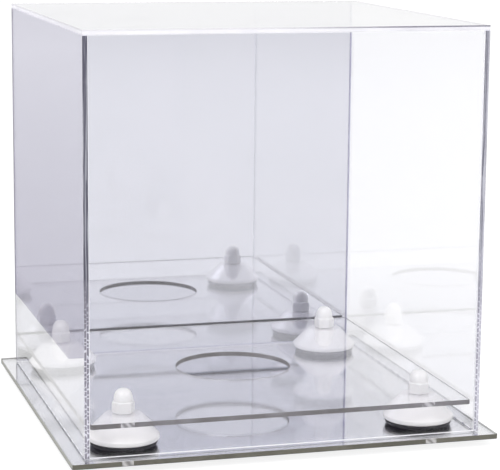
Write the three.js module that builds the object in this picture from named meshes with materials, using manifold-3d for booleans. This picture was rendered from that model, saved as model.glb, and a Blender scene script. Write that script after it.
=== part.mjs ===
// Display case for one bowling ball. A clear cover with a mirrored back lifts off a mirrored base
// plate. A clear platform with a round seat for the ball stands over the plate on four risers. Each
// riser is a tapered foot on a rubber pad, clamped by one screw from below and a domed nut on top.
// Millimetres, +Z up, origin on the surface that the case stands on, under the middle of the plate.

import * as THREE from "three";
import { mergeVertices } from "three/addons/utils/BufferGeometryUtils.js";
import Module from "manifold-3d";

const wasm = await Module();
wasm.setup();

// Cover
const coverSide = 254;
const coverWallHeight = 254;
const coverSheet = 3;

// Base plate and platform
const baseSheet = 3;
const baseFlange = 9.5;
const platformSheet = 3;
const platformGap = 1.5;
const sheetCornerRadius = 1.5;
const seatHoleDiameter = 77;

// Risers, from the screw's head upwards
const riserInset = 25.5;
const padInset = 1.2;
const padThickness = 3;
const padLowerRadius = 2;
const padEdgeChamfer = 0.5;
const footDiameter = 45;
const footTopDiameter = 24.4;
const footHeight = 14;
const footRimHeight = 2.4;
const footRimRadius = 1.5;
const footTopEdgeRadius = 0.8;
const footWall = 3;
const footRoof = 3;
const footBossDiameter = 16;
const footRibThickness = 1.8;
const footRibCount = 4;

// Screw and domed nut
const screwDiameter = 7.9;
const screwLength = 30;
const screwTipChamfer = 1;
const headDiameter = 13;
const headHeight = 5;
const headEdgeRadius = 0.8;
const slotWidth = 2;
const slotDepth = 2;
const nutAcrossFlats = 12.7;
const nutHexHeight = 7;
const nutHeight = 15;
const nutDomeDiameter = 11.9;
const nutCornerChamfer = 0.7;
const nutBoreDepth = 11;

// Clearances
const screwHoleClearance = 0.5;
const threadClearance = 0.3;
const cutOverrun = 1;

// Facets of the round shapes
const seatSegments = 72;
const footSegments = 40;
const nutSegments = 36;
const screwSegments = 24;
const edgeSteps = 3;
const domeSteps = 6;
const sheetCornerSteps = 2;

// Heights, worked out upwards from the surface that the case stands on
const baseBottom = headHeight;
const baseTop = baseBottom + baseSheet;
const footBottom = baseTop + padThickness;
const platformBottom = footBottom + footHeight;
const platformTop = platformBottom + platformSheet;

// Widths, worked out from the cover
const coverInside = coverSide - 2 * coverSheet;
const baseSide = coverSide + 2 * baseFlange;
const platformSide = coverInside - 2 * platformGap;
const riserOffset = platformSide / 2 - riserInset;
const padDiameter = footDiameter - 2 * padInset;
const screwHoleDiameter = screwDiameter + 2 * screwHoleClearance;

// Each riser: the name of its corner, where it stands as shares of riserOffset, and how its nut and
// screw happened to stop turning, in degrees
const riserPlaces = [
  { corner: "front_left", sideShare: -1, depthShare: -1, nutTurn: -2, screwTurn: 20 },
  { corner: "front_right", sideShare: 1, depthShare: -1, nutTurn: 14, screwTurn: 75 },
  { corner: "back_left", sideShare: -1, depthShare: 1, nutTurn: 23, screwTurn: -40 },
  { corner: "back_right", sideShare: 1, depthShare: 1, nutTurn: 41, screwTurn: 5 },
];

const clearAcrylic = new THREE.MeshStandardMaterial({
  color: 0xf1f0f7, roughness: 0.04, metalness: 0, transparent: true, opacity: 0.22,
});
const mirrorAcrylic = new THREE.MeshStandardMaterial({ color: 0xd9d8e0, roughness: 0.03, metalness: 1 });
const whitePlastic = new THREE.MeshStandardMaterial({ color: 0xefeff0, roughness: 0.3, metalness: 0 });
const whiteNylon = new THREE.MeshStandardMaterial({ color: 0xf3f3f1, roughness: 0.35, metalness: 0 });
const blackRubber = new THREE.MeshStandardMaterial({ color: 0x1b191b, roughness: 0.7, metalness: 0 });

// Booleans

function toSolid(geometry) {
  const plain = geometry.clone();
  plain.deleteAttribute("normal");
  plain.deleteAttribute("uv");
  const merged = mergeVertices(plain);
  return new wasm.Manifold(new wasm.Mesh({
    numProp: 3,
    vertProperties: new Float32Array(merged.attributes.position.array),
    triVerts: new Uint32Array(merged.index.array),
  }));
}

function toGeometry(solid) {
  const mesh = solid.getMesh();
  const geometry = new THREE.BufferGeometry();
  geometry.setAttribute("position", new THREE.BufferAttribute(mesh.vertProperties, 3));
  geometry.setIndex(new THREE.BufferAttribute(mesh.triVerts, 1));
  geometry.computeVertexNormals();
  return geometry;
}

// Shapes shared by several pieces

function arc(centreRadius, centreHeight, radius, fromDegrees, toDegrees, steps = edgeSteps) {
  const points = [];
  for (let step = 0; step <= steps; step += 1) {
    const angle = THREE.MathUtils.degToRad(fromDegrees + (toDegrees - fromDegrees) * step / steps);
    points.push(new THREE.Vector2(
      centreRadius + radius * Math.cos(angle),
      centreHeight + radius * Math.sin(angle),
    ));
  }
  return points;
}

// Turns a profile of (radius, height) points about +Z. A ring's profile ends where it starts.
function revolve(profile, segments) {
  return new THREE.LatheGeometry(profile, segments).rotateX(Math.PI / 2);
}

function rod(diameter, bottom, top, segments) {
  return new THREE.CylinderGeometry(diameter / 2, diameter / 2, top - bottom, segments)
    .rotateX(Math.PI / 2)
    .translate(0, 0, (bottom + top) / 2);
}

function squareSheet(side, thickness) {
  const reach = side / 2 - sheetCornerRadius;
  const outline = new THREE.Shape();
  outline.absarc(reach, reach, sheetCornerRadius, 0, Math.PI / 2);
  outline.absarc(-reach, reach, sheetCornerRadius, Math.PI / 2, Math.PI);
  outline.absarc(-reach, -reach, sheetCornerRadius, Math.PI, 3 * Math.PI / 2);
  outline.absarc(reach, -reach, sheetCornerRadius, 3 * Math.PI / 2, 2 * Math.PI);
  return new THREE.ExtrudeGeometry(outline, {
    depth: thickness, bevelEnabled: false, curveSegments: sheetCornerSteps,
  });
}

function drillForScrews(sheet, thickness) {
  let drilled = sheet;
  for (const place of riserPlaces) {
    const hole = rod(screwHoleDiameter, -cutOverrun, thickness + cutOverrun, screwSegments)
      .translate(place.sideShare * riserOffset, place.depthShare * riserOffset, 0);
    drilled = drilled.subtract(toSolid(hole));
  }
  return drilled;
}

// Pieces

function basePlateGeometry() {
  return toGeometry(drillForScrews(toSolid(squareSheet(baseSide, baseSheet)), baseSheet));
}

function platformGeometry() {
  const sheet = drillForScrews(toSolid(squareSheet(platformSide, platformSheet)), platformSheet);
  const seat = rod(seatHoleDiameter, -cutOverrun, platformSheet + cutOverrun, seatSegments);
  return toGeometry(sheet.subtract(toSolid(seat)));
}

// A rubber washer, as wide as the foot's flat underside and rounded in towards the mirror
function padGeometry() {
  const hole = screwHoleDiameter / 2;
  const rim = padDiameter / 2;
  return revolve([
    new THREE.Vector2(hole, 0),
    ...arc(rim - padLowerRadius, padLowerRadius, padLowerRadius, -90, 0),
    new THREE.Vector2(rim, padThickness - padEdgeChamfer),
    new THREE.Vector2(rim - padEdgeChamfer, padThickness),
    new THREE.Vector2(hole, padThickness),
    new THREE.Vector2(hole, 0),
  ], footSegments);
}

// The foot's outside: a rounded rim at the wide bottom, a straight taper, and a flat top that
// carries the platform. Below it is open, with a boss round the screw and ribs out to the wall.
function footGeometry() {
  const hole = screwHoleDiameter / 2;
  const widest = footDiameter / 2;
  const top = footTopDiameter / 2;
  const taper = Math.atan2(footHeight - footRimHeight, widest - top);
  const taperDegrees = THREE.MathUtils.radToDeg(taper);
  const outside = toSolid(revolve([
    new THREE.Vector2(hole, 0),
    ...arc(widest - footRimRadius, footRimRadius, footRimRadius, -90, 0),
    ...arc(widest - footRimRadius, footRimHeight, footRimRadius, 0, 90 - taperDegrees),
    ...arc(top - footTopEdgeRadius, footHeight - footTopEdgeRadius, footTopEdgeRadius,
      90 - taperDegrees, 90),
    new THREE.Vector2(hole, footHeight),
    new THREE.Vector2(hole, 0),
  ], footSegments));

  const innerAtRim = widest - footWall / Math.sin(taper);
  const roofHeight = footHeight - footRoof;
  const innerAtRoof = innerAtRim - (roofHeight - footRimHeight) / Math.tan(taper);
  const hollow = toSolid(revolve([
    new THREE.Vector2(0, -cutOverrun),
    new THREE.Vector2(innerAtRim, -cutOverrun),
    new THREE.Vector2(innerAtRim, footRimHeight),
    new THREE.Vector2(innerAtRoof, roofHeight),
    new THREE.Vector2(0, roofHeight),
  ], footSegments));

  const boss = rod(footBossDiameter, -footHeight, footHeight, footSegments);
  let pockets = hollow.subtract(toSolid(boss));
  for (let rib = 0; rib < footRibCount; rib += 1) {
    const bar = new THREE.BoxGeometry(widest, footRibThickness, 2 * footHeight)
      .translate(widest / 2, 0, 0)
      .rotateZ(2 * Math.PI * rib / footRibCount);
    pockets = pockets.subtract(toSolid(bar));
  }
  return toGeometry(outside.subtract(pockets));
}

// A hexagon with its top corners turned off, and a tall dome over the blind thread
function nutGeometry() {
  const corner = nutAcrossFlats / Math.sqrt(3);
  const domeRadius = nutDomeDiameter / 2;
  const domeCentre = nutHeight - nutHexHeight - domeRadius;
  const chamferDrop = nutCornerChamfer * Math.tan(Math.PI / 6);
  const hexagon = toSolid(new THREE.CylinderGeometry(corner, corner, nutHexHeight, 6, 1)
    .rotateY(Math.PI / 2)
    .rotateX(Math.PI / 2)
    .translate(0, 0, nutHexHeight / 2));
  const turned = toSolid(revolve([
    new THREE.Vector2(0, 0),
    new THREE.Vector2(corner - nutCornerChamfer, 0),
    new THREE.Vector2(corner, chamferDrop),
    new THREE.Vector2(corner, nutHexHeight - 2 * chamferDrop),
    new THREE.Vector2(corner - 2 * nutCornerChamfer, nutHexHeight),
    new THREE.Vector2(0, nutHexHeight),
  ], nutSegments));
  const dome = toSolid(revolve([
    new THREE.Vector2(0, -cutOverrun),
    new THREE.Vector2(domeRadius, -cutOverrun),
    ...arc(0, domeCentre, domeRadius, 0, 90, domeSteps).slice(0, -1),
    new THREE.Vector2(0, domeCentre + domeRadius),
  ], nutSegments).translate(0, 0, nutHexHeight));
  const bore = rod(screwDiameter + 2 * threadClearance, -cutOverrun, nutBoreDepth, screwSegments);
  return toGeometry(hexagon.intersect(turned).add(dome).subtract(toSolid(bore)));
}

// A slotted cheese head, which the plate stands on, and a plain shank up through the riser
function screwGeometry() {
  const head = headDiameter / 2;
  const shank = screwDiameter / 2;
  const tip = headHeight + screwLength;
  const blank = toSolid(revolve([
    new THREE.Vector2(0, 0),
    ...arc(head - headEdgeRadius, headEdgeRadius, headEdgeRadius, -90, 0),
    new THREE.Vector2(head, headHeight),
    new THREE.Vector2(shank, headHeight),
    new THREE.Vector2(shank, tip - screwTipChamfer),
    new THREE.Vector2(shank - screwTipChamfer, tip),
    new THREE.Vector2(0, tip),
  ], screwSegments));
  const slot = new THREE.BoxGeometry(headDiameter + 2 * cutOverrun, slotWidth, slotDepth + cutOverrun)
    .translate(0, 0, (slotDepth - cutOverrun) / 2);
  return toGeometry(blank.subtract(toSolid(slot)));
}

function piece(name, geometry, material, x, y, z) {
  const mesh = new THREE.Mesh(geometry, material);
  mesh.name = name;
  mesh.position.set(x, y, z);
  return mesh;
}

// Base assembly

function riser(place) {
  const group = new THREE.Group();
  group.position.set(place.sideShare * riserOffset, place.depthShare * riserOffset, 0);
  const screw = piece(`riser_screw_${place.corner}`, screwGeometry(), whiteNylon, 0, 0, 0);
  screw.rotation.z = THREE.MathUtils.degToRad(place.screwTurn);
  const nut = piece(`cap_nut_${place.corner}`, nutGeometry(), whiteNylon, 0, 0, platformTop);
  nut.rotation.z = THREE.MathUtils.degToRad(place.nutTurn);
  group.add(
    screw,
    piece(`riser_pad_${place.corner}`, padGeometry(), blackRubber, 0, 0, baseTop),
    piece(`riser_foot_${place.corner}`, footGeometry(), whitePlastic, 0, 0, footBottom),
    nut,
  );
  return group;
}

function baseAssembly() {
  const group = new THREE.Group();
  group.add(
    piece("base_plate", basePlateGeometry(), mirrorAcrylic, 0, 0, baseBottom),
    piece("platform", platformGeometry(), clearAcrylic, 0, 0, platformBottom),
    ...riserPlaces.map(riser),
  );
  return group;
}

// Cover: the side walls run the whole depth, the front and the mirror stand between them, and the
// top lies on all four. Its group's origin is on the base plate.

function coverAssembly() {
  const group = new THREE.Group();
  group.position.z = baseTop;
  const wallOffset = (coverSide - coverSheet) / 2;
  const wallMiddle = coverWallHeight / 2;
  const sideWall = new THREE.BoxGeometry(coverSheet, coverSide, coverWallHeight);
  const crossWall = new THREE.BoxGeometry(coverInside, coverSheet, coverWallHeight);
  const top = new THREE.BoxGeometry(coverSide, coverSide, coverSheet);
  group.add(
    piece("cover_left", sideWall, clearAcrylic, -wallOffset, 0, wallMiddle),
    piece("cover_right", sideWall, clearAcrylic, wallOffset, 0, wallMiddle),
    piece("cover_front", crossWall, clearAcrylic, 0, -wallOffset, wallMiddle),
    piece("cover_back_mirror", crossWall, mirrorAcrylic, 0, wallOffset, wallMiddle),
    piece("cover_top", top, clearAcrylic, 0, 0, coverWallHeight + coverSheet / 2),
  );
  return group;
}

const displayCase = new THREE.Group();
displayCase.add(baseAssembly(), coverAssembly());

export default displayCase;
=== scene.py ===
"""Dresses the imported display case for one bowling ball.

A clear cast-acrylic cover with a mirrored back stands on a mirrored acrylic base plate. Inside it a clear
platform with a round seat lies on four moulded feet, each clamped by a nylon screw and a domed nut.
Lengths are in metres, unless a name ends in _mm.
"""

import logging
import math
from dataclasses import dataclass
from enum import Enum
from functools import cached_property

import bmesh
import bpy
from mathutils import Matrix, Vector


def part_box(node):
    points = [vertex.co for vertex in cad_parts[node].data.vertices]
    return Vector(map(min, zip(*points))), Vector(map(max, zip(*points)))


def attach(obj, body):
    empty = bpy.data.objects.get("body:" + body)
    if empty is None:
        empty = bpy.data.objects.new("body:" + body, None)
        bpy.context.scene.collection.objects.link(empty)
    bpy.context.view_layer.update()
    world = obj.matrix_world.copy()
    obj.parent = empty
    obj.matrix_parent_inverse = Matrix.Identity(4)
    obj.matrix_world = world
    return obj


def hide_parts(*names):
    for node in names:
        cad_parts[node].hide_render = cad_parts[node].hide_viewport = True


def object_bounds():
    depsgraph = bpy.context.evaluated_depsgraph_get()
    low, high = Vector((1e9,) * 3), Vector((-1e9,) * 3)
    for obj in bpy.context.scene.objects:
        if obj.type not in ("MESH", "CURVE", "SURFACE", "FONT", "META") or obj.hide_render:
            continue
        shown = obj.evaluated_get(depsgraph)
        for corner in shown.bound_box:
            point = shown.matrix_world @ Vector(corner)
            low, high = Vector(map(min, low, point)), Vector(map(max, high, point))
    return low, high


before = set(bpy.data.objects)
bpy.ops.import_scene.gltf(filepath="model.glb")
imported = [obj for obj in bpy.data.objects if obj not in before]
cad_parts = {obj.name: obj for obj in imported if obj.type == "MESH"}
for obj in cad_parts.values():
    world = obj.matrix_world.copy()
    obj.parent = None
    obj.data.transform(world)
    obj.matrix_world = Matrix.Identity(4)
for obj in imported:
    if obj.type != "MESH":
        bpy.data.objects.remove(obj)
cad_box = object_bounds()

log = logging.getLogger("display_case")

MM = 0.001
Point = tuple[float, float]
Triple = tuple[float, float, float]
Material = bpy.types.Material
Node = bpy.types.Node
Socket = bpy.types.NodeSocket
Shell = bmesh.types.BMesh


class SheetSide(Enum):
    """The material slots of a sheet, in order."""

    FACE = 0
    EDGE = 1
    COAT = 2


class Corner(Enum):
    """The four risers, by the corner that each stands in."""

    FRONT_LEFT = "front_left"
    FRONT_RIGHT = "front_right"
    BACK_LEFT = "back_left"
    BACK_RIGHT = "back_right"


def linear(hex_code: str) -> tuple[float, float, float, float]:
    """Turns an sRGB colour into the linear colour that shaders work in.

    Args:
        hex_code: Six hex digits, such as "ecebec".

    Returns:
        Red, green, blue and an alpha of 1.
    """
    channels = []
    for start in (0, 2, 4):
        share = int(hex_code[start:start + 2], 16) / 255
        channels.append(share / 12.92 if share <= 0.04045 else ((share + 0.055) / 1.055) ** 2.4)
    return (channels[0], channels[1], channels[2], 1.0)


def grain_scale(size_mm: float) -> float:
    """Gives the texture scale that makes one grain of a pattern this large."""
    return 1000 / size_mm


def band_scale(pitch_mm: float) -> float:
    """Gives the Wave texture scale that repeats a band along one axis at this pitch."""
    return math.pi / (10 * pitch_mm * MM)


@dataclass(frozen=True)
class Look:
    """What something looks like, as a tree of nodes. Each kind of look has its own surface."""

    name: str

    @cached_property
    def owner(self) -> Material:
        """Makes the material that the tree belongs to."""
        return bpy.data.materials.new(self.name)

    @cached_property
    def tree(self) -> bpy.types.NodeTree:
        """Empties the owner's tree.

        Returns:
            The empty tree.
        """
        self.owner.use_nodes = True
        self.owner.node_tree.nodes.clear()
        return self.owner.node_tree

    @cached_property
    def place(self) -> Socket:
        """Gives the place in the row's frame, in metres."""
        return self.add("TexCoord").outputs["Object"]

    def build(self) -> Material:
        """Makes the material.

        Returns:
            The material, with its surface.
        """
        self.add("OutputMaterial", {"Surface": self.surface()})
        return self.owner

    def add(self, kind: str, inputs: dict | None = None, **settings: object) -> Node:
        """Adds one node, with its settings and links.

        Args:
            kind: Blender's name for the kind of node, without the ShaderNode that it starts with.
            inputs: Input name or number, with what goes in: a plain value, a colour as six hex digits, an
                output, or a node, which stands for its first output in use. A texture that is given no
                Vector gets the place in the row's frame.
            settings: Attributes of the node, such as operation.

        Returns:
            The new node.
        """
        node = self.tree.nodes.new("ShaderNode" + kind)
        for name, value in settings.items():
            setattr(node, name, value)
        inputs = inputs or {}
        if kind.startswith("Tex") and kind != "TexCoord":
            inputs = {"Vector": self.place, **inputs}
        for name, value in inputs.items():
            if isinstance(value, Node):
                value = next(output for output in value.outputs if output.enabled)
            if isinstance(value, Socket):
                self.tree.links.new(value, node.inputs[name])
            else:
                node.inputs[name].default_value = linear(value) if isinstance(value, str) else value
        return node

    def relief(self, size_mm: float, depth_mm: float, detail: float, strength: float) -> Node:
        """Adds a relief of noise.

        Args:
            size_mm: The size of one grain.
            depth_mm: How deep the relief may go.
            detail: How many finer layers the noise has.
            strength: The share of that depth that it reaches.

        Returns:
            The relief, for a shader's Normal.
        """
        noise = self.add("TexNoise", {"Scale": grain_scale(size_mm), "Detail": detail})
        return self.add("Bump", {"Height": noise, "Strength": strength, "Distance": depth_mm * MM})

    def surface(self) -> Node:
        """Adds the nodes of this kind of look, and returns its shader."""
        raise NotImplementedError


@dataclass(frozen=True)
class CastAcrylic(Look):
    """Cast acrylic (PMMA) sheet, polished on both faces: clear and colourless, with a slow waviness
    from the casting cell and a faint haze of wiping marks. Lamps and scattered light pass straight
    through it."""

    body_hex: str = "fdfdfe"
    shade_hex: str = "fbfbfd"
    index: float = 1.49
    haze: float = 0.012
    wave_mm: float = 70.0
    wave_depth_mm: float = 0.02
    wipe_mm: float = 26.0

    def surface(self) -> Node:
        """Adds the sheet's nodes.

        Returns:
            Its shader.
        """
        bump = self.relief(self.wave_mm, self.wave_depth_mm, detail=1.0, strength=1.0)
        wipe = self.add("TexNoise", {"Scale": grain_scale(self.wipe_mm), "Detail": 5.0, "Distortion": 1.2})
        roughness = self.add("MapRange", {
            "Value": wipe, "From Min": 0.45, "From Max": 0.75, "To Min": 0.0, "To Max": self.haze})
        glass = self.add("BsdfPrincipled", {
            "Base Color": self.body_hex, "Transmission Weight": 1.0, "IOR": self.index,
            "Roughness": roughness, "Normal": bump})
        straight = self.add("BsdfTransparent", {"Color": self.shade_hex})
        path = self.add("LightPath")
        passes = self.add("Math", {
            0: path.outputs["Is Shadow Ray"], 1: path.outputs["Is Diffuse Ray"]}, operation="MAXIMUM")
        return self.add("MixShader", {0: passes, 1: glass, 2: straight})


@dataclass(frozen=True)
class SawnEdge(Look):
    """The sawn and scraped edge of an acrylic sheet. Only some of the light piped through the sheet comes
    out here, so it is cloudy, and darker and greyer than the faces. Where the two heights are given, it
    carries painted shade, running from pale low down to dark high up."""

    dark_hex: str
    pale_hex: str
    clear_share: float = 0.4
    pale_below_mm: float = -1000.0
    dark_above_mm: float = 1000.0
    cloud_mm: float = 22.0
    cloud_depth: float = 0.3
    scratch_mm: float = 0.8
    scratch_depth_mm: float = 0.05
    roughness: float = 0.2
    index: float = 1.49

    def surface(self) -> Node:
        """Adds the clouds, the marks of this kind of edge and the scratches.

        Returns:
            The shader.
        """
        height = self.add("SeparateXYZ", {0: self.place}).outputs["Z"]
        # Painted shade: the edge turns from pale below pale_below_mm to dark above dark_above_mm.
        fade = self.add("MapRange", {
            "Value": height, "From Min": self.pale_below_mm * MM, "From Max": self.dark_above_mm * MM})
        cloud = self.add("TexNoise", {"Scale": grain_scale(self.cloud_mm), "Detail": 4.0, "Roughness": 0.6})
        clouded = self.add("MapRange", {
            "Value": cloud, "From Min": 0.35, "From Max": 0.65, "To Min": -self.cloud_depth,
            "To Max": self.cloud_depth})
        depth = self.add("Math", {0: fade, 1: clouded}, operation="ADD", use_clamp=True)
        body = self.add("Mix", {0: depth, 6: self.pale_hex, 7: self.dark_hex}, data_type="RGBA")
        bump = self.relief(self.scratch_mm, self.scratch_depth_mm, detail=3.0, strength=0.5)
        return self.add("BsdfPrincipled", {
            "Base Color": self.marked(body), "Roughness": self.roughness, "IOR": self.index,
            "Specular IOR Level": 0.0, "Transmission Weight": self.clear_share, "Normal": bump})

    def marked(self, body: Node) -> Node:
        """Returns the edge's colour with the marks of its kind. A plain edge has none."""
        return body


@dataclass(frozen=True)
class TopEdge(SawnEdge):
    """The top sheet's edge. A painted shade line runs along its upper corner, faint at the left, dark at the
    right.
    """

    shade_line_hex: str = "85838f"
    faint_hex: str = "dddce0"
    line_from_mm: float = 264.1
    faint_until_mm: float = -10.0
    dark_from_mm: float = 75.0

    def marked(self, body: Node) -> Node:
        """Adds the painted shade line.

        Args:
            body: The edge's colour without it.

        Returns:
            The colour with it.
        """
        axes = self.add("SeparateXYZ", {0: self.place})
        # Painted shade: the corner line darkens from the left to the right.
        along = self.add("MapRange", {
            "Value": axes.outputs["X"], "From Min": self.faint_until_mm * MM,
            "From Max": self.dark_from_mm * MM})
        line = self.add("Mix", {0: along, 6: self.faint_hex, 7: self.shade_line_hex}, data_type="RGBA")
        high = self.add("Math", {0: axes.outputs["Z"], 1: self.line_from_mm * MM}, operation="GREATER_THAN")
        return self.add("Mix", {0: high, 6: body, 7: line}, data_type="RGBA")


@dataclass(frozen=True)
class NotchedEdge(SawnEdge):
    """A side wall's edge. The cutter left streaks up an upright edge, with two rows of dark notches in them.
    Painted glints make bright stripes along the edge on the mirror. The glued edge under the top is pale.
    Painted light makes the right wall paler towards its outer face, and the left wall's far end is dark."""

    sheet_mm: float = 3.0
    inner_face_mm: float = 124.0
    lit_right_hex: str = "d6d5de"
    right_share_inner: float = 0.05
    right_share_outer: float = 0.5
    turns_outer_mm: Point = (125.0, 126.0)
    rear_hex: str = "24232e"
    rear_from_mm: float = 126.7
    streak_hex: str = "d9dbe4"
    streak_share: float = 0.5
    streak_mm: float = 0.9
    streak_stretch: float = 0.02
    notch_hex: str = "75717f"
    notch_share: float = 0.85
    notch_share_right: float = 0.7
    notch_full_below_mm: float = 95.0
    notch_faint_above_mm: float = 140.0
    notch_faint_share: float = 0.2
    notch_pitch_mm: float = 3.4
    notch_wander_mm: float = 9.0
    notch_unit_mm: float = 6.0
    notch_narrowing: float = 3.0
    glint_hex: str = "ffffff"
    between_hex: str = "9d9ba6"
    glint_pitch_mm: float = 13.3
    glint_top_mm: float = 8.3
    joint_from_mm: float = 261.6

    def marked(self, body: Node) -> Node:
        """Adds the streaks, the notches, the painted light on the right wall and the painted glints.

        Args:
            body: The edge's colour without them.

        Returns:
            The colour with them.
        """
        axes = self.add("SeparateXYZ", {0: self.place})
        # Painted light: the right wall's edge turns paler towards its outer face.
        right = self.add("Math", {0: axes.outputs["X"], 1: 0.0}, operation="GREATER_THAN")
        outward = self.add("MapRange", {
            "Value": axes.outputs["X"], "From Min": self.turns_outer_mm[0] * MM,
            "From Max": self.turns_outer_mm[1] * MM, "To Min": self.right_share_inner,
            "To Max": self.right_share_outer})
        pale = self.add("Math", {0: right, 1: outward}, operation="MULTIPLY")
        stretched = self.add("Mapping", {"Vector": self.place, "Scale": (1.0, 1.0, self.streak_stretch)})
        streak = self.add("TexNoise", {
            "Vector": stretched, "Scale": grain_scale(self.streak_mm), "Detail": 1.0})
        bright = self.add("MapRange", {
            "Value": streak, "From Min": 0.48, "From Max": 0.58, "To Max": self.streak_share})
        back = self.add("Math", {0: axes.outputs["Y"], 1: self.rear_from_mm * MM}, operation="GREATER_THAN")
        rear_left = self.add("Math", {0: back, 1: right}, operation="SUBTRACT", use_clamp=True)
        for share, colour in ((pale, self.lit_right_hex), (bright, self.streak_hex), (rear_left, self.rear_hex)):
            body = self.add("Mix", {0: share, 6: body, 7: colour}, data_type="RGBA")
        wall = self.add("MapRange", {
            "Value": right, "To Min": self.notch_share, "To Max": self.notch_share_right})
        reach = self.add("MapRange", {
            "Value": axes.outputs["Z"], "From Min": self.notch_full_below_mm * MM,
            "From Max": self.notch_faint_above_mm * MM, "To Min": 1.0, "To Max": self.notch_faint_share})
        inward = self.add("Math", {0: 1.0, 1: pale}, operation="SUBTRACT")
        share = wall
        for factor in (inward, reach, self.notches(axes)):
            share = self.add("Math", {0: share, 1: factor}, operation="MULTIPLY")
        notched = self.add("Mix", {
            0: share, 6: body, 7: self.notch_hex}, data_type="RGBA", blend_type="DARKEN")
        # Painted glints: bright stripes on the lower edge that stands on the mirror.
        low = self.add("Math", {0: axes.outputs["Z"], 1: self.glint_top_mm * MM}, operation="LESS_THAN")
        foot = self.add("Mix", {0: low, 6: notched, 7: self.painted_glints()}, data_type="RGBA")
        high = self.add("Math", {
            0: axes.outputs["Z"], 1: self.joint_from_mm * MM}, operation="GREATER_THAN")
        return self.add("Mix", {0: high, 6: foot, 7: self.pale_hex}, data_type="RGBA")

    def notches(self, axes: Node) -> Node:
        """Adds two rows of notches as the bricks of a wall, with a wander along the edge. The wall is
        narrowed, because its joints can only be as wide one way as the other.

        Args:
            axes: The place in the row's frame, taken apart.

        Returns:
            1 in a notch, 0 between two.
        """
        drift = self.add("TexNoise", {"Scale": grain_scale(2 * self.notch_pitch_mm), "Detail": 2.0})
        along = self.add("Math", {
            0: drift, 1: self.notch_wander_mm * MM, 2: axes.outputs["Z"]}, operation="MULTIPLY_ADD")
        aside = self.add("Math", {0: axes.outputs["X"]}, operation="ABSOLUTE")
        across = self.add("Math", {
            0: aside, 1: self.notch_narrowing, 2: -self.notch_narrowing * self.inner_face_mm * MM},
            operation="MULTIPLY_ADD")
        line = self.add("CombineXYZ", {0: along, 1: across})
        wall = self.add("TexBrick", {
            "Vector": line, "Scale": grain_scale(self.notch_unit_mm), "Mortar Size": 0.08,
            "Mortar Smooth": 0.3, "Brick Width": self.notch_pitch_mm / self.notch_unit_mm,
            "Row Height": self.notch_narrowing * self.sheet_mm / 2 / self.notch_unit_mm})
        return self.add("Math", {0: 1.0, 1: wall.outputs["Fac"]}, operation="SUBTRACT")

    def painted_glints(self) -> Node:
        """Adds the painted glints, bright stripes along the lower edge.

        Returns:
            Their colour.
        """
        bar = self.add("TexWave", {
            "Scale": band_scale(self.glint_pitch_mm), "Distortion": 0.8, "Detail": 2.0, "Detail Scale": 1.0},
            wave_type="BANDS", bands_direction="Y")
        sharp = self.add("MapRange", {"Value": bar.outputs["Fac"], "From Min": 0.15, "From Max": 0.25})
        return self.add("Mix", {0: sharp, 6: self.between_hex, 7: self.glint_hex}, data_type="RGBA")


@dataclass(frozen=True)
class DrilledEdge(SawnEdge):
    """The edge of a sheet that white screws pass through. A painted image of each screw's threads, as seen
    through the sheet, makes a pale block in the edge, a little to the left of the screw, as the sheet bends
    the view from the left. Painted light makes the base plate's two sides paler than its front."""

    screw_image_hex: str = "e9e7e8"
    gap_hex: str = "9a9899"
    block_share: float = 0.85
    block_offset_mm: float = 97.0
    block_shift_mm: float = 2.8
    block_width_mm: float = 8.6
    turn_pitch_mm: float = 1.41
    lit_side_hex: str = "a5a59f"
    side_from_mm: float = 136.2

    def marked(self, body: Node) -> Node:
        """Adds the painted screw images and the painted light on the sides.

        Args:
            body: The edge's colour without them.

        Returns:
            The colour with them.
        """
        axes = self.add("SeparateXYZ", {0: self.place})
        # Painted image: each screw's threads, seen through the sheet, show as a pale block in the edge.
        inside = []
        for axis, shift_mm in (("X", self.block_shift_mm), ("Y", 0.0)):
            moved = self.add("Math", {0: axes.outputs[axis], 1: shift_mm * MM}, operation="ADD")
            aside = self.add("Math", {0: moved}, operation="ABSOLUTE")
            inside.append(self.add("Math", {
                0: aside, 1: self.block_offset_mm * MM, 2: self.block_width_mm / 2 * MM},
                operation="COMPARE"))
        block = self.add("Math", {0: inside[0], 1: inside[1]}, operation="MAXIMUM")
        share = self.add("Math", {0: block, 1: self.block_share}, operation="MULTIPLY")
        turns = self.add("TexWave", {
            "Scale": band_scale(2 * self.turn_pitch_mm), "Distortion": 4.0, "Detail": 2.0},
            wave_type="BANDS", bands_direction="DIAGONAL")
        threads = self.add("Mix", {
            0: turns.outputs["Fac"], 6: self.gap_hex, 7: self.screw_image_hex}, data_type="RGBA")
        blocked = self.add("Mix", {0: share, 6: body, 7: threads}, data_type="RGBA")
        # Painted light: the sheet's two sides are paler than its front.
        aside = self.add("Math", {0: axes.outputs["X"]}, operation="ABSOLUTE")
        side = self.add("Math", {0: aside, 1: self.side_from_mm * MM}, operation="GREATER_THAN")
        return self.add("Mix", {0: side, 6: blocked, 7: self.lit_side_hex}, data_type="RGBA")


@dataclass(frozen=True)
class AluminiumCoat(Look):
    """Vacuum-coated aluminium on the far side of a mirrored acrylic sheet: a cool grey mirror whose image
    ripples a little, because the sheet is never quite flat."""

    bright_hex: str
    dull_hex: str
    mottle_mm: float = 45.0
    ripple_mm: float = 90.0
    ripple_depth_mm: float = 0.03
    roughness: float = 0.015

    def surface(self) -> Node:
        """Adds the coat's nodes.

        Returns:
            Its shader.
        """
        mottle = self.add("TexNoise", {"Scale": grain_scale(self.mottle_mm), "Detail": 3.0})
        colour = self.add("Mix", {0: mottle, 6: self.bright_hex, 7: self.dull_hex}, data_type="RGBA")
        bump = self.relief(self.ripple_mm, self.ripple_depth_mm, detail=0.0, strength=1.0)
        return self.add("BsdfPrincipled", {
            "Base Color": colour, "Metallic": 1.0, "Roughness": self.roughness, "Normal": bump})


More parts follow.
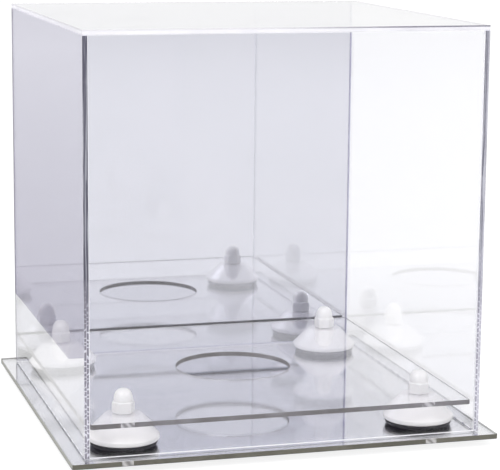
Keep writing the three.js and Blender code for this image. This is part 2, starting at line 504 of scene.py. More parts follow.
@dataclass(frozen=True)
class BackingPaint(Look):
    """The grey alkyd paint that protects a mirror coat from behind: even, dull, with a fine orange peel."""

    light_hex: str = "9a9ea3"
    dark_hex: str = "8d9196"
    peel_mm: float = 1.6
    peel_depth_mm: float = 0.03
    drift_mm: float = 60.0
    roughness: float = 0.55

    def surface(self) -> Node:
        """Adds the paint's nodes.

        Returns:
            Its shader.
        """
        drift = self.add("TexNoise", {"Scale": grain_scale(self.drift_mm), "Detail": 4.0})
        colour = self.add("Mix", {0: drift, 6: self.light_hex, 7: self.dark_hex}, data_type="RGBA")
        bump = self.relief(self.peel_mm, self.peel_depth_mm, detail=2.0, strength=0.7)
        return self.add("BsdfPrincipled", {
            "Base Color": colour, "Roughness": self.roughness, "Normal": bump})


@dataclass(frozen=True)
class MouldedPlastic(Look):
    """A white injection-moulded plastic. The skin is glossy from the tool, with slight flow clouds and a
    ripple that breaks up its highlights. Nylon lets more light into its skin than polystyrene."""

    light_hex: str
    dark_hex: str
    index: float
    roughness_low: float
    roughness_high: float
    depth_share: float
    depth_mm: float
    flow_mm: float = 9.0
    ripple_mm: float = 3.0
    ripple_depth_mm: float = 0.02
    depth_by_channel: Triple = (1.0, 0.95, 0.9)

    def surface(self) -> Node:
        """Adds the plastic's nodes.

        Returns:
            Its shader.
        """
        flow = self.add("TexNoise", {"Scale": grain_scale(self.flow_mm), "Detail": 3.0, "Distortion": 0.8})
        colour = self.add("Mix", {0: flow, 6: self.light_hex, 7: self.dark_hex}, data_type="RGBA")
        roughness = self.add("MapRange", {
            "Value": flow, "From Min": 0.3, "From Max": 0.7, "To Min": self.roughness_low,
            "To Max": self.roughness_high})
        bump = self.relief(self.ripple_mm, self.ripple_depth_mm, detail=2.0, strength=0.5)
        return self.add("BsdfPrincipled", {
            "Base Color": colour, "Roughness": roughness, "IOR": self.index,
            "Subsurface Weight": self.depth_share, "Subsurface Radius": self.depth_by_channel,
            "Subsurface Scale": self.depth_mm * MM, "Normal": bump})


@dataclass(frozen=True)
class CutRubber(Look):
    """Black EPDM sheet, punched into washers: matt, with a fine leather-like skin and a little pale dust."""

    body_hex: str = "19171a"
    dust_hex: str = "302d31"
    skin_mm: float = 0.6
    skin_depth_mm: float = 0.05
    dust_mm: float = 2.5
    roughness: float = 0.5

    def surface(self) -> Node:
        """Adds the rubber's nodes.

        Returns:
            Its shader.
        """
        dust = self.add("TexNoise", {"Scale": grain_scale(self.dust_mm), "Detail": 6.0, "Roughness": 0.7})
        dusted = self.add("MapRange", {"Value": dust, "From Min": 0.5, "From Max": 0.8})
        colour = self.add("Mix", {0: dusted, 6: self.body_hex, 7: self.dust_hex}, data_type="RGBA")
        skin = self.add("TexVoronoi", {"Scale": grain_scale(self.skin_mm)})
        bump = self.add("Bump", {"Height": skin, "Strength": 0.5, "Distance": self.skin_depth_mm * MM})
        return self.add("BsdfPrincipled", {
            "Base Color": colour, "Roughness": self.roughness, "IOR": 1.5, "Normal": bump})


class Finishes:
    """Every finish of the case, each made once."""

    def __init__(self) -> None:
        """Builds the materials."""
        self.clear = CastAcrylic("clear_cast_acrylic").build()
        # The side edges get painted shade, dark from 125 mm up.
        self.side_edge = NotchedEdge(
            "sawn_side_edge", dark_hex="605f6d", pale_hex="e4e3ee", clear_share=0.3,
            pale_below_mm=75.0, dark_above_mm=125.0).build()
        self.cover_edge = SawnEdge("scraped_cover_edge", dark_hex="f6f5f9", pale_hex="ffffff").build()
        self.coat_edge = SawnEdge("sawn_coat_edge", dark_hex="b9b6cf", pale_hex="cfcddf").build()
        self.top_edge = TopEdge("scraped_top_edge", dark_hex="e6e5ea", pale_hex="f6f5f8").build()
        self.platform_edge = DrilledEdge("sawn_platform_edge", dark_hex="73706c", pale_hex="9c9a9c").build()
        self.base_edge = DrilledEdge(
            "sawn_mirror_edge", dark_hex="64625a", pale_hex="7c7a70", clear_share=0.25,
            block_share=0.65, block_shift_mm=5.6, block_width_mm=7.2).build()
        self.cover_coat = AluminiumCoat(
            "aluminium_cover_coat", bright_hex="e4e4eb", dull_hex="dedfe6").build()
        self.plate_coat = AluminiumCoat(
            "aluminium_plate_coat", bright_hex="f2f2f4", dull_hex="ecedf0").build()
        self.backing = BackingPaint("grey_backing_paint").build()
        self.foot = MouldedPlastic(
            "moulded_polystyrene", light_hex="f2f0ed", dark_hex="e9e7e4", index=1.59,
            roughness_low=0.16, roughness_high=0.26, depth_share=0.08, depth_mm=1.0).build()
        self.nylon = MouldedPlastic(
            "moulded_nylon", light_hex="ecebe9", dark_hex="e4e3e1", index=1.53,
            roughness_low=0.24, roughness_high=0.36, depth_share=0.3, depth_mm=1.5,
            flow_mm=4.0, ripple_mm=1.5).build()
        self.rubber = CutRubber("cut_rubber").build()


def arc(centre: Point, radii: Point, start: float, end: float, steps: int = 8) -> list[Point]:
    """Gives points along an arc.

    Args:
        centre: The arc's centre.
        radii: Its radius along each axis.
        start: Where it starts, in degrees.
        end: Where it ends, in degrees.
        steps: How many steps it takes.

    Returns:
        steps + 1 points.
    """
    points = []
    for step in range(steps + 1):
        angle = math.radians(start + (end - start) * step / steps)
        points.append((centre[0] + radii[0] * math.cos(angle), centre[1] + radii[1] * math.sin(angle)))
    return points


@dataclass(frozen=True)
class RoundedRectangle:
    """The outline of a sheet about its own middle."""

    width: float
    height: float
    radius: float

    def points(self, inset: float) -> list[Point]:
        """Gives the outline.

        Args:
            inset: How far it is drawn in.

        Returns:
            Its points in order, starting at the right.
        """
        x = self.width / 2 - self.radius
        y = self.height / 2 - self.radius
        turn = (self.radius - inset, self.radius - inset)
        points = []
        for quarter, centre in enumerate(((x, y), (-x, y), (-x, -y), (x, -y))):
            points += arc(centre, turn, 90 * quarter, 90 * quarter + 90, steps=6)
        return points


@dataclass(frozen=True)
class RoundHole:
    """The outline of a hole through a sheet."""

    centre: Point
    radius: float
    steps: int = 48

    def points(self, inset: float) -> list[Point]:
        """Gives the outline's points in order, widened by the inset."""
        radius = self.radius + inset
        return arc(self.centre, (radius, radius), 0, 360, self.steps)[:-1]


def box_size(node: str) -> Triple:
    """Gives the size of a node's box along x, y and z."""
    low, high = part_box(node)
    return (high.x - low.x, high.y - low.y, high.z - low.z)


def finish_mesh(shell: Shell, name: str, materials: list[Material],
                smooth_below: float = 0.0) -> bpy.types.Object:
    """Turns a shell into an object.

    Args:
        shell: The shell, which is freed.
        name: The piece's name.
        materials: Its material slots.
        smooth_below: Edges that turn by less than this, in degrees, look smooth.

    Returns:
        The object, with its origin at the row's origin.
    """
    bmesh.ops.recalc_face_normals(shell, faces=shell.faces)
    if shell.calc_volume(signed=True) < 0:
        bmesh.ops.reverse_faces(shell, faces=shell.faces)
    limit = math.radians(smooth_below)
    for face in shell.faces:
        face.smooth = smooth_below > 0
    for edge in shell.edges:
        edge.smooth = smooth_below > 0 and edge.calc_face_angle(math.pi) < limit
    mesh = bpy.data.meshes.new(name)
    shell.to_mesh(mesh)
    shell.free()
    for material in materials:
        mesh.materials.append(material)
    piece = bpy.data.objects.new(name, mesh)
    bpy.context.scene.collection.objects.link(piece)
    return piece


def settle(piece: bpy.types.Object, body: str, slot: str, *nodes: str) -> None:
    """Puts a piece on its body.

    Args:
        piece: The piece, in its place.
        body: The body that it moves with.
        slot: The record's slot for the piece; not used.
        nodes: The nodes that it stands for, which are hidden.
    """
    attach(piece, body)
    if nodes:
        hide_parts(*nodes)
    log.info("%s rides on %s with %d faces", piece.name, body, len(piece.data.polygons))


def stitch(shell: Shell, loops: list[list[bmesh.types.BMVert]], slot: int = 0) -> None:
    """Joins each loop to the next one by faces.

    Args:
        shell: The shell that gets the faces.
        loops: Loops of vertices, all of one length. One vertex over and over makes a pole.
        slot: The faces' material slot.
    """
    for lower, upper in zip(loops, loops[1:]):
        for step in range(len(lower)):
            after = (step + 1) % len(lower)
            corners = dict.fromkeys((lower[step], lower[after], upper[after], upper[step]))
            if len(corners) > 2:
                shell.faces.new(list(corners)).material_index = slot


def revolve(profile: list[Point], segments: int) -> Shell:
    """Turns a closed profile of (radius, height) points about +Z.

    Args:
        profile: The points in order. A first and a last point on the axis close the shape there, and
            otherwise the last point joins the first.
        segments: How many steps make a turn.

    Returns:
        The closed shell.
    """
    shell = bmesh.new()
    rings = []
    for radius, height in profile:
        if radius == 0:
            rings.append([shell.verts.new((0, 0, height))] * segments)
            continue
        ring = []
        for step in range(segments):
            angle = 2 * math.pi * step / segments
            ring.append(shell.verts.new((radius * math.cos(angle), radius * math.sin(angle), height)))
        rings.append(ring)
    on_axis = profile[0][0] == 0
    stitch(shell, rings if on_axis else [*rings, rings[0]])
    return shell


@dataclass
class Sheet:
    """One flat acrylic sheet, modelled flat with its thickness along +Z from 0, then placed."""

    name: str
    outer: RoundedRectangle
    thickness: float
    place: Matrix
    holes: tuple[RoundHole, ...] = ()
    edge_break: float = 0.25 * MM

    def build(self, materials: list[Material]) -> bpy.types.Object:
        """Makes the sheet. Its faces, its edges with their broken corners, and the side that carries
        the mirror coat each take their own slot.

        Args:
            materials: The finishes, in the order of SheetSide. A third one makes it a mirror.

        Returns:
            The sheet in its place.
        """
        shell = bmesh.new()
        levels = (
            (0.0, self.edge_break), (self.edge_break, 0.0),
            (self.thickness - self.edge_break, 0.0), (self.thickness, self.edge_break),
        )
        rims = {0: [], len(levels) - 1: []}
        for outline in (self.outer, *self.holes):
            loops = [[shell.verts.new((x, y, z)) for x, y in outline.points(inset)] for z, inset in levels]
            stitch(shell, loops, SheetSide.EDGE.value)
            for level, rim in rims.items():
                loop = loops[level]
                rim += [shell.edges.get((loop[step - 1], loop[step])) for step in range(len(loop))]
        for level, rim in rims.items():
            filled = bmesh.ops.triangle_fill(shell, use_beauty=True, use_dissolve=False, edges=rim)
            side = SheetSide.COAT if is_mirror(materials) and level == 0 else SheetSide.FACE
            for item in filled["geom"]:
                if isinstance(item, bmesh.types.BMFace):
                    item.material_index = side.value
        shell.transform(self.place)
        return finish_mesh(shell, self.name, materials)


def is_mirror(materials: list[Material]) -> bool:
    """Tells whether a sheet with these finishes carries a mirror coat."""
    return len(materials) > SheetSide.COAT.value


def flat_sheet(name: str, node: str, radius: float, *holes: RoundHole) -> Sheet:
    """Lays a sheet flat in its node's box, round the case's own axis.

    Args:
        name: The piece's name.
        node: The node whose box it fills.
        radius: The radius of its upright corners.
        holes: Its holes.

    Returns:
        The sheet, still to be built.
    """
    width, depth, thickness = box_size(node)
    place = Matrix.Translation((0, 0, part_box(node)[0].z))
    return Sheet(name, RoundedRectangle(width, depth, radius), thickness, place, holes)


def upright_place(low: Vector, high: Vector, across_x: bool) -> Matrix:
    """Places a sheet that stands up.

    Args:
        low: The lowest corner of its box.
        high: The highest corner.
        across_x: True for a sheet across the case, which has its own z = 0 side at the back, and
            False for a side wall.

    Returns:
        The matrix that stands it up in its box.
    """
    middle = (low + high) / 2
    if across_x:
        return Matrix(((1, 0, 0, middle.x), (0, 0, -1, high.y), (0, 1, 0, middle.z), (0, 0, 0, 1)))
    return Matrix(((0, 0, 1, low.x), (1, 0, 0, middle.y), (0, 1, 0, middle.z), (0, 0, 0, 1)))


@dataclass(frozen=True)
class PaintSkin:
    """The measures of a skin of backing paint behind a mirror, which touches nothing."""

    thickness: float = 0.08 * MM
    gap: float = 0.02 * MM
    edge_break: float = 0.02 * MM


@dataclass
class CoverAssembly:
    """The lift-off cover: two side walls, a clear front and a mirrored back between them, and a top.
    A hairline is left at each glued joint, where the real sheets show a line too."""

    finishes: Finishes
    body: str = "cover"
    joint_line: float = 0.04 * MM
    corner_radius: float = 0.3 * MM
    skin: PaintSkin = PaintSkin()

    def build(self) -> None:
        """Makes the five sheets and the paint behind the mirror."""
        clear = self.finishes.clear
        side = [clear, self.finishes.side_edge]
        mirror = [clear, self.finishes.coat_edge, self.finishes.cover_coat]
        self.upright("clear_left", "cover_left", False, side)
        self.upright("clear_right", "cover_right", False, side)
        self.upright("clear_front", "cover_front", True, [clear, self.finishes.cover_edge])
        self.upright("mirrored_back", "cover_back_mirror", True, mirror)
        top = flat_sheet("clear_top", "cover_top", self.corner_radius)
        settle(top.build([clear, self.finishes.top_edge]), self.body, "clear_acrylic", "cover_top")
        self.paint()

    def upright(self, name: str, node: str, across_x: bool, materials: list[Material]) -> None:
        """Makes one standing sheet in place of its node.

        Args:
            name: The piece's name.
            node: The node that it stands for.
            across_x: As in upright_place.
            materials: As in Sheet.build.
        """
        across, depth, height = box_size(node)
        width, thickness = (across - 2 * self.joint_line, depth) if across_x else (depth, across)
        outer = RoundedRectangle(width, height - 2 * self.joint_line, self.corner_radius)
        sheet = Sheet(name, outer, thickness, upright_place(*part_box(node), across_x))
        slot = "mirror_acrylic" if is_mirror(materials) else "clear_acrylic"
        settle(sheet.build(materials), self.body, slot, node)

    def paint(self) -> None:
        """Makes the paint skin on the back of the mirrored sheet."""
        low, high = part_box("cover_back_mirror")
        start = Vector((low.x, high.y + self.skin.gap, low.z))
        end = Vector((high.x, high.y + self.skin.gap + self.skin.thickness, high.z))
        trim = 4 * self.joint_line
        outer = RoundedRectangle(high.x - low.x - trim, high.z - low.z - trim, self.corner_radius)
        place = upright_place(start, end, True)
        sheet = Sheet("back_paint", outer, self.skin.thickness, place, edge_break=self.skin.edge_break)
        settle(sheet.build([self.finishes.backing] * 2), self.body, "mirror_acrylic")


@dataclass
class Riser:
    """One riser: a screw from under the base plate, a rubber pad, a tapered foot and a domed nut."""

    corner: Corner
    finishes: Finishes
    nut_turn: float
    screw_turn: float
    body: str = "base"
    rest_gap: float = 0.03 * MM
    segments: int = 96
    edge_radius: float = 0.5 * MM
    foot_rim_height: float = 2.4 * MM
    foot_rim_radius: float = 1.5 * MM
    foot_top_diameter: float = 24.4 * MM
    foot_top_radius: float = 1.0 * MM
    foot_wall: float = 3 * MM
    pad_lower_radius: float = 2 * MM
    foot_roof: float = 3 * MM
    boss_diameter: float = 16 * MM
    hole_diameter: float = 8.9 * MM
    nut_flats: float = 12.7 * MM
    nut_hex_height: float = 7 * MM
    nut_foot_edge: tuple[Point, ...] = ((0.7 * MM, 0.03 * MM), (0.2 * MM, 0.25 * MM), (0.0, 0.5 * MM))
    nut_dome_diameter: float = 11.9 * MM
    dome_fullness: float = 0.8
    nut_bore_depth: float = 11 * MM
    nut_bore_diameter: float = 8.5 * MM
    nut_corner_softness: float = 0.3 * MM
    nut_shoulder: float = 1.5 * MM
    thread_diameter: float = 7.9 * MM
    thread_depth: float = 0.75 * MM
    thread_pitch: float = 1.41 * MM
    thread_segments: int = 40
    thread_rows: int = 8
    thread_steepness: float = 4.0
    thread_root: float = 1.5
    head_diameter: float = 13 * MM
    head_height: float = 5 * MM
    head_edge_radius: float = 0.8 * MM
    slot_width: float = 2 * MM
    slot_depth: float = 2 * MM

    def build(self) -> None:
        """Makes the four pieces."""
        self.pad()
        self.foot()
        self.nut()
        self.screw()

    def node(self, kind: str) -> str:
        """Names this corner's node of one kind."""
        return f"{kind}_{self.corner.value}"

    def put(self, shell: Shell, kind: str, name: str, material: Material, slot: str, turn: float = 0.0,
            smooth_below: float = 35.0, replaces: bool = True) -> None:
        """Stands a shell where its node stands.

        Args:
            shell: The shell about its own axis, with its lowest point at 0.
            kind: The kind of node whose place it takes.
            name: The piece's name, without its corner.
            material: Its finish.
            slot: The record's slot.
            turn: How far it is turned, in degrees.
            smooth_below: As in finish_mesh.
            replaces: True if it stands for the node, False if it only adds to it.
        """
        low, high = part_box(self.node(kind))
        middle = (low + high) / 2
        place = Matrix.Translation((middle.x, middle.y, low.z))
        shell.transform(place @ Matrix.Rotation(math.radians(turn), 4, "Z"))
        piece = finish_mesh(shell, f"{name}_{self.corner.value}", [material], smooth_below)
        nodes = [self.node(kind)] if replaces else []
        settle(piece, self.body, slot, *nodes)

    def pad(self) -> None:
        """Makes the rubber washer, rounded in towards the mirror, with a soft upper corner."""
        width, _, height = box_size(self.node("riser_pad"))
        rim = width / 2
        top = height - self.rest_gap
        hole = self.hole_diameter / 2
        lower = self.pad_lower_radius
        upper = self.edge_radius
        profile = [
            (hole, self.rest_gap),
            *arc((rim - lower, lower + self.rest_gap), (lower, lower), -90, 0),
            *arc((rim - upper, top - upper), (upper, upper), 0, 90, steps=4),
            (hole, top),
        ]
        shell = revolve(profile, self.segments)
        self.put(shell, "riser_pad", "rubber_pad", self.finishes.rubber, "black_rubber")

    def foot(self) -> None:
        """Makes the tapered foot: a rounded rim, a straight cone and a flat top, hollow from below
        round a boss."""
        width, _, node_height = box_size(self.node("riser_foot"))
        widest = width / 2
        height = node_height - self.rest_gap
        top = self.foot_top_diameter / 2
        slope = math.atan2(height - self.foot_rim_height, widest - top)
        tangent = 90 - math.degrees(slope)
        rim = self.foot_rim_radius
        crown = self.foot_top_radius
        hole = self.hole_diameter / 2
        boss = self.boss_diameter / 2
        inner = widest - self.foot_wall / math.sin(slope)
        roof = height - self.foot_roof
        inner_roof = inner - (roof - self.foot_rim_height) / math.tan(slope)
        profile = [
            (hole, 0), (boss, 0), (boss, roof), (inner_roof, roof),
            (inner, self.foot_rim_height), (inner, 0),
            *arc((widest - rim, rim), (rim, rim), -90, 0),
            *arc((widest - rim, self.foot_rim_height), (rim, rim), 0, tangent),
            *arc((top - crown, height - crown), (crown, crown), tangent, 90),
            (hole, height),
        ]
        shell = revolve(profile, self.segments)
        self.put(shell, "riser_foot", "foot", self.finishes.foot, "white_moulding")

    def nut(self) -> None:
        """Makes the domed nut. Where the turned blank meets the hexagon, the smaller radius of the two
        wins, with the soft corners of a moulding."""
        height = box_size(self.node("cap_nut"))[2]
        corner = self.nut_flats / math.sqrt(3)
        dome = self.nut_dome_diameter / 2
        bore = self.nut_bore_diameter / 2
        hexagon = self.nut_hex_height
        chamfer = arc((dome, hexagon - self.nut_shoulder), (corner - dome, self.nut_shoulder), 0, 90)
        foot_edge = [(corner - inset, up) for inset, up in self.nut_foot_edge]
        wall = [(corner, hexagon * tenth / 10) for tenth in range(2, 8)]
        cap = []
        for across, up in arc((0, 0), (1, 1), 0, 90, steps=24):
            cap.append((dome * max(across, 0) ** self.dome_fullness,
                        hexagon + (height - hexagon) * up ** self.dome_fullness))
        profile = [
            (0, self.nut_bore_depth), (bore, self.nut_bore_depth), (bore, self.rest_gap),
            *foot_edge, *wall, *chamfer, *cap[:-1], (0, height),
        ]
        shell = revolve(profile, self.segments * 2)
        self.press_hexagon(shell)
        self.put(shell, "cap_nut", "domed_nut", self.finishes.nylon, "white_nylon", self.nut_turn)

    def press_hexagon(self, shell: Shell) -> None:
        """Draws the outside of the nut's lower part in to a hexagon with soft corners.

        Args:
            shell: The turned nut, which is changed.
        """
        flat = self.nut_flats / 2
        softness = self.nut_corner_softness
        for vertex in shell.verts:
            radius = math.hypot(vertex.co.x, vertex.co.y)
            if radius <= self.nut_bore_diameter / 2 or vertex.co.z > self.nut_hex_height + self.edge_radius:
                continue
            angle = math.atan2(vertex.co.y, vertex.co.x) % (math.pi / 3) - math.pi / 6
            limit = flat / math.cos(angle)
            shared = -softness * math.log(math.exp(-radius / softness) + math.exp(-limit / softness))
            kept = min(radius, max(shared, min(radius, self.nut_dome_diameter / 2)))
            vertex.co.x *= kept / radius
            vertex.co.y *= kept / radius

    def screw(self) -> None:
        """Makes the screw: a slotted cheese head and a threaded shank."""
        length = box_size(self.node("riser_screw"))[2]
        head = self.head_diameter / 2
        edge = self.head_edge_radius
        under = self.head_height - self.rest_gap
        profile = [
            (0, 0), *arc((head - edge, edge), (edge, edge), -90, 0, steps=6), (head, under), (0, under)]
        blank = self.slotted(revolve(profile, self.segments))
        nylon = self.finishes.nylon
        self.put(blank, "riser_screw", "screw_head", nylon, "white_nylon", self.screw_turn)
        self.put(self.thread(under, length), "riser_screw", "screw_thread", nylon, "white_nylon",
                 smooth_below=50.0, replaces=False)

    def slotted(self, blank: Shell) -> Shell:
        """Cuts the driver's slot into a head by a boolean.

        Args:
            blank: The head without its slot, which is freed.

        Returns:
            The head with its slot.
        """
        head = finish_mesh(blank, "blank", [])
        bar = bmesh.new()
        bmesh.ops.create_cube(bar, size=1.0)
        bar.transform(Matrix.Diagonal((2 * self.head_diameter, self.slot_width, 2 * self.slot_depth, 1)))
        cutter = finish_mesh(bar, "slot_cutter", [])
        cut = head.modifiers.new("slot", "BOOLEAN")
        cut.operation = "DIFFERENCE"
        cut.solver = "EXACT"
        cut.object = cutter
        shell = bmesh.new()
        shell.from_object(head, bpy.context.evaluated_depsgraph_get())
        for used in (head, cutter):
            bpy.data.objects.remove(used)
        return shell

    def thread(self, bottom: float, top: float) -> Shell:
        """Makes the threaded shank as one closed skin whose radius follows a helix.

        Args:
            bottom: The shank's lower end, above the head's underside.
            top: Its tip.

        Returns:
            The shank's shell.
        """
        shell = bmesh.new()
        rows = math.ceil((top - bottom) / self.thread_pitch * self.thread_rows)
        crest = self.thread_diameter / 2
        rings = []
        for row in range(rows + 1):
            height = bottom + (top - bottom) * row / rows
            fade = min(1.0, (top - height) / self.thread_pitch)
            ring = []
            for step in range(self.thread_segments):
                turn = step / self.thread_segments
                phase = ((height / self.thread_pitch) - turn) % 1.0
                groove = min(1.0, max(0.0, self.thread_root - abs(phase - 0.5) * self.thread_steepness))
                radius = crest - self.thread_depth * max(groove, 1.0 - fade)
                angle = 2 * math.pi * turn
                ring.append(shell.verts.new((radius * math.cos(angle), radius * math.sin(angle), height)))
            rings.append(ring)
        stitch(shell, rings)
        shell.faces.new(rings[0])
        shell.faces.new(rings[-1])
        return shell


@dataclass
class BaseAssembly:
    """The mirrored base plate, the clear platform and the four risers between them. A riser's two turns
    are those of its nut and of its screw, in degrees."""

    finishes: Finishes
    body: str = "base"
    corner_radius: float = 1.5 * MM
    screw_hole_diameter: float = 8.9 * MM
    head_diameter: float = 13 * MM
    seat_diameter: float = 77 * MM
    seat_steps: int = 144
    skin: PaintSkin = PaintSkin()
    turns: tuple[tuple[Corner, float, float], ...] = (
        (Corner.FRONT_LEFT, -2, 20), (Corner.FRONT_RIGHT, 14, 75),
        (Corner.BACK_LEFT, 23, -40), (Corner.BACK_RIGHT, 41, 5),
    )

    def build(self) -> None:
        """Makes the sheets, the paint under the mirror and the risers."""
        clear = self.finishes.clear
        screws = self.holes(self.screw_hole_diameter)
        plate = flat_sheet("mirrored_plate", "base_plate", self.corner_radius, *screws)
        settle(plate.build([clear, self.finishes.base_edge, self.finishes.plate_coat]), self.body,
               "mirror_acrylic", "base_plate")
        seat = RoundHole((0, 0), self.seat_diameter / 2, self.seat_steps)
        platform = flat_sheet("clear_platform", "platform", self.corner_radius, seat, *screws)
        settle(platform.build([clear, self.finishes.platform_edge]), self.body, "clear_acrylic", "platform")
        self.paint()
        for corner, nut_turn, screw_turn in self.turns:
            Riser(corner, self.finishes, nut_turn, screw_turn).build()

    def holes(self, diameter: float) -> tuple[RoundHole, ...]:
        """Gives a round hole at each screw.

        Args:
            diameter: The holes' diameter.

        Returns:
            The four holes.
        """
        found = []
        for corner in Corner:
            low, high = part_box(f"riser_pad_{corner.value}")
            found.append(RoundHole(((low.x + high.x) / 2, (low.y + high.y) / 2), diameter / 2))
        return tuple(found)

    def paint(self) -> None:
        """Makes the paint skin under the base plate, open round the screw heads."""
        width, depth, _ = box_size("base_plate")
        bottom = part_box("base_plate")[0].z - self.skin.gap - self.skin.thickness
        room = 4 * self.skin.thickness
        sheet = Sheet(
            "plate_paint", RoundedRectangle(width, depth, self.corner_radius), self.skin.thickness,
            Matrix.Translation((0, 0, bottom)), self.holes(self.head_diameter + room),
            self.skin.edge_break)
        settle(sheet.build([self.finishes.backing] * 2), self.body, "mirror_acrylic")


@dataclass(frozen=True)
class Card(Look):
    """A grey card just above the studio's floor, which makes the case's clear sheets read as glass. It
    fades along y from its near colour to its far one. Only rays that a sheet of the case has reflected
    see it, on the outside or at the inner side of its first sheet."""

    low: Point
    high: Point
    near_y: float
    pale_y: float
    near_hex: str
    far_hex: str
    height: float = 1 * MM
    inside_one_sheet: float = 2.5

    def surface(self) -> Node:
        """Adds the card's nodes.

        Returns:
            Its shader.
        """
        depth = self.add("SeparateXYZ", {0: self.place}).outputs["Y"]
        far = self.add("MapRange", {"Value": depth, "From Min": self.near_y, "From Max": self.pale_y})
        colour = self.add("Mix", {0: far, 6: self.near_hex, 7: self.far_hex}, data_type="RGBA")
        board = self.add("BsdfDiffuse", {"Color": colour})
        path = self.add("LightPath")
        one_sheet = self.add("Math", {
            0: path.outputs["Transmission Depth"], 1: self.inside_one_sheet}, operation="LESS_THAN")
        refracted = self.add("Math", {
            0: path.outputs["Is Transmission Ray"], 1: one_sheet}, operation="MULTIPLY")
        inner = self.add("Math", {0: refracted, 1: path.outputs["Glossy Depth"]}, operation="MINIMUM")
        bounced = self.add("Math", {
            0: path.outputs["Is Glossy Ray"], 1: path.outputs["Is Transmission Ray"]}, operation="SUBTRACT",
            use_clamp=True)
        reflected = self.add("Math", {0: bounced, 1: inner}, operation="MAXIMUM")
        return self.add("MixShader", {0: reflected, 1: self.add("BsdfTransparent"), 2: board})

    def lay(self) -> bpy.types.Object:
        """Lays the card over the floor.

        Returns:
            The card in its place.
        """
        shell = bmesh.new()
        corners = (self.low, (self.high[0], self.low[1]), self.high, (self.low[0], self.high[1]))
        shell.faces.new([shell.verts.new((x, y, self.height)) for x, y in corners])
        return finish_mesh(shell, self.name, [self.build()])


@dataclass(frozen=True)
class SeenLook(Look):
    """A look that differs between the rays that show it and light's own paths."""

    reflected_share: float = 0.84

    def seen_share(self) -> Node:
        """Adds the share in which a ray shows this look.

        Returns:
            1 for a ray from the camera or out of a clear sheet, less for one off a first surface, and 0
            for light's own paths.
        """
        path = self.add("LightPath")
        reflected = self.add("Math", {
            0: path.outputs["Is Glossy Ray"], 1: self.reflected_share}, operation="MULTIPLY")
        through = self.add("Math", {
            0: reflected, 1: path.outputs["Is Transmission Ray"]}, operation="MAXIMUM")
        return self.add("Math", {0: path.outputs["Is Camera Ray"], 1: through}, operation="MAXIMUM")


@dataclass(frozen=True)
class PaperFloor(SeenLook):
    """The studio's white paper floor. It lights the case as pale paper does, and where it is seen it is
    white, with the case's shadow on it. From below it isn't there, so the underside can be looked at."""

    paper_hex: str = "f4f4f4"
    seen_hex: str = "8c8c8c"
    glow: float = 0.84
    mirrored_share: float = 0.81

    def surface(self) -> Node:
        """Adds the floor's nodes.

        Returns:
            Its shader.
        """
        seen = self.seen_share()
        colour = self.add("Mix", {0: seen, 6: self.paper_hex, 7: self.seen_hex}, data_type="RGBA")
        paper = self.add("BsdfDiffuse", {"Color": colour})
        share = self.add("Math", {0: seen, 1: self.glow}, operation="MULTIPLY")
        path = self.add("LightPath")
        mirrored = self.add("MapRange", {
            "Value": path.outputs["Glossy Depth"], "To Min": 1.0, "To Max": self.mirrored_share})
        light = self.add("Math", {0: share, 1: mirrored}, operation="MULTIPLY")
        glow = self.add("Emission", {"Color": "ffffff", "Strength": light})
        lit = self.add("AddShader", {0: paper, 1: glow})
        side = self.add("NewGeometry")
        unseen = self.add("BsdfTransparent")
        return self.add("MixShader", {0: side.outputs["Backfacing"], 1: lit, 2: unseen})


@dataclass(frozen=True)
class Sky(SeenLook):
    """The studio's even white sky: white where it is seen, and softer as a light."""

    colour_hex: str = "ffffff"
    light: float = 0.96

    @cached_property
    def owner(self) -> bpy.types.World:
        """Makes the world that the tree belongs to."""
        return bpy.data.worlds.new(self.name)

    def hang(self) -> None:
        """Makes the sky the scene's world."""
        self.add("OutputWorld", {"Surface": self.surface()})
        bpy.context.scene.world = self.owner

    def surface(self) -> Node:
        """Adds the sky's nodes.

        Returns:
            Its background.
        """
        strength = self.add("Math", {0: self.seen_share(), 1: self.light}, operation="MAXIMUM")
        return self.add("Background", {"Color": self.colour_hex, "Strength": strength})


@dataclass(frozen=True)
class Lamp:
    """A square soft lamp that looks at the middle of the case, with its power in watts."""

    name: str
    place: Triple
    side: float
    power: float

    def build(self) -> None:
        """Makes the lamp."""
        data = bpy.data.lights.new(self.name, "AREA")
        data.size = self.side
        data.energy = self.power
        lamp = bpy.data.objects.new(self.name, data)
        lamp.location = self.place
        middle = Vector((0, 0, (cad_box[0].z + cad_box[1].z) / 2))
        lamp.rotation_euler = (middle - Vector(self.place)).to_track_quat("-Z", "Y").to_euler()
        bpy.context.scene.collection.objects.link(lamp)


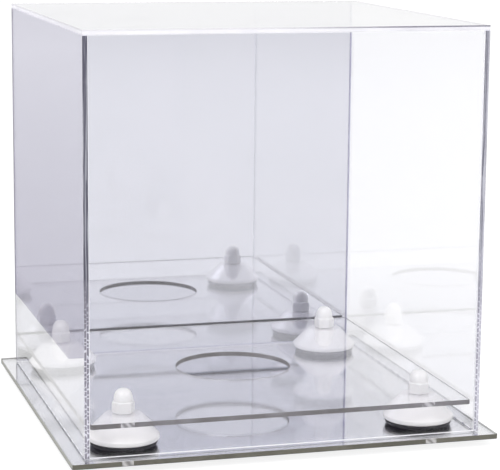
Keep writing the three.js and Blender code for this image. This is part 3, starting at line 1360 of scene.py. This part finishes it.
@dataclass
class Studio:
    """The plain white studio round the case: a floor, an even sky, two soft lamps and the camera."""

    floor_side: float = 12.0
    camera_place: Triple = (-0.3448, -1.2298, 0.3482)
    camera_turn: Triple = (79.76, -0.52, -16.07)
    camera_clip: float = 0.01
    focal_length_mm: float = 139.6
    sensor_width_mm: float = 36.0
    deepest_path: int = 32
    cards: tuple[Card, ...] = (
        Card("side_card", low=(-1.8, 0.15), high=(-0.17, 5.9), near_y=0.15, pale_y=2.85,
             near_hex="a8a5b2", far_hex="dcdae4"),
        Card("front_card", low=(-1.5, -0.75), high=(1.5, -0.15), near_y=-0.2, pale_y=-0.7,
             near_hex="5a5862", far_hex="fbfbfb"),
    )
    lamps: tuple[Lamp, ...] = (
        Lamp("key_lamp", (-1.5, -1.4, 1.9), side=1.1, power=26.0),
        Lamp("fill_lamp", (1.7, -1.6, 1.2), side=1.4, power=12.0),
    )

    def build(self) -> None:
        """Makes everything that isn't part of the case."""
        self.camera()
        self.floor()
        for card in self.cards:
            card.lay()
        Sky("sky").hang()
        for lamp in self.lamps:
            lamp.build()
        self.light_paths()
        bpy.context.scene.view_settings.view_transform = "Standard"

    def light_paths(self) -> None:
        """Lets light cross every clear sheet and both mirrors before it is given up."""
        cycles = bpy.context.scene.cycles
        for limit in ("max_bounces", "glossy_bounces", "transmission_bounces", "transparent_max_bounces"):
            setattr(cycles, limit, self.deepest_path)

    def camera(self) -> None:
        """Makes the camera at the photograph's place."""
        data = bpy.data.cameras.new("camera")
        data.lens = self.focal_length_mm
        data.sensor_width = self.sensor_width_mm
        data.clip_start = self.camera_clip
        camera = bpy.data.objects.new("camera", data)
        camera.location = self.camera_place
        camera.rotation_euler = [math.radians(turn) for turn in self.camera_turn]
        bpy.context.scene.collection.objects.link(camera)
        bpy.context.scene.camera = camera

    def floor(self) -> None:
        """Makes the floor."""
        shell = bmesh.new()
        bmesh.ops.create_grid(shell, x_segments=1, y_segments=1, size=self.floor_side / 2)
        finish_mesh(shell, "floor", [PaperFloor("studio_floor").build()])


def main() -> None:
    """Builds the studio and the case."""
    logging.basicConfig(level=logging.INFO, format="%(name)s: %(message)s")
    Studio().build()
    finishes = Finishes()
    BaseAssembly(finishes).build()
    CoverAssembly(finishes).build()


if __name__ == "__main__":
    main()
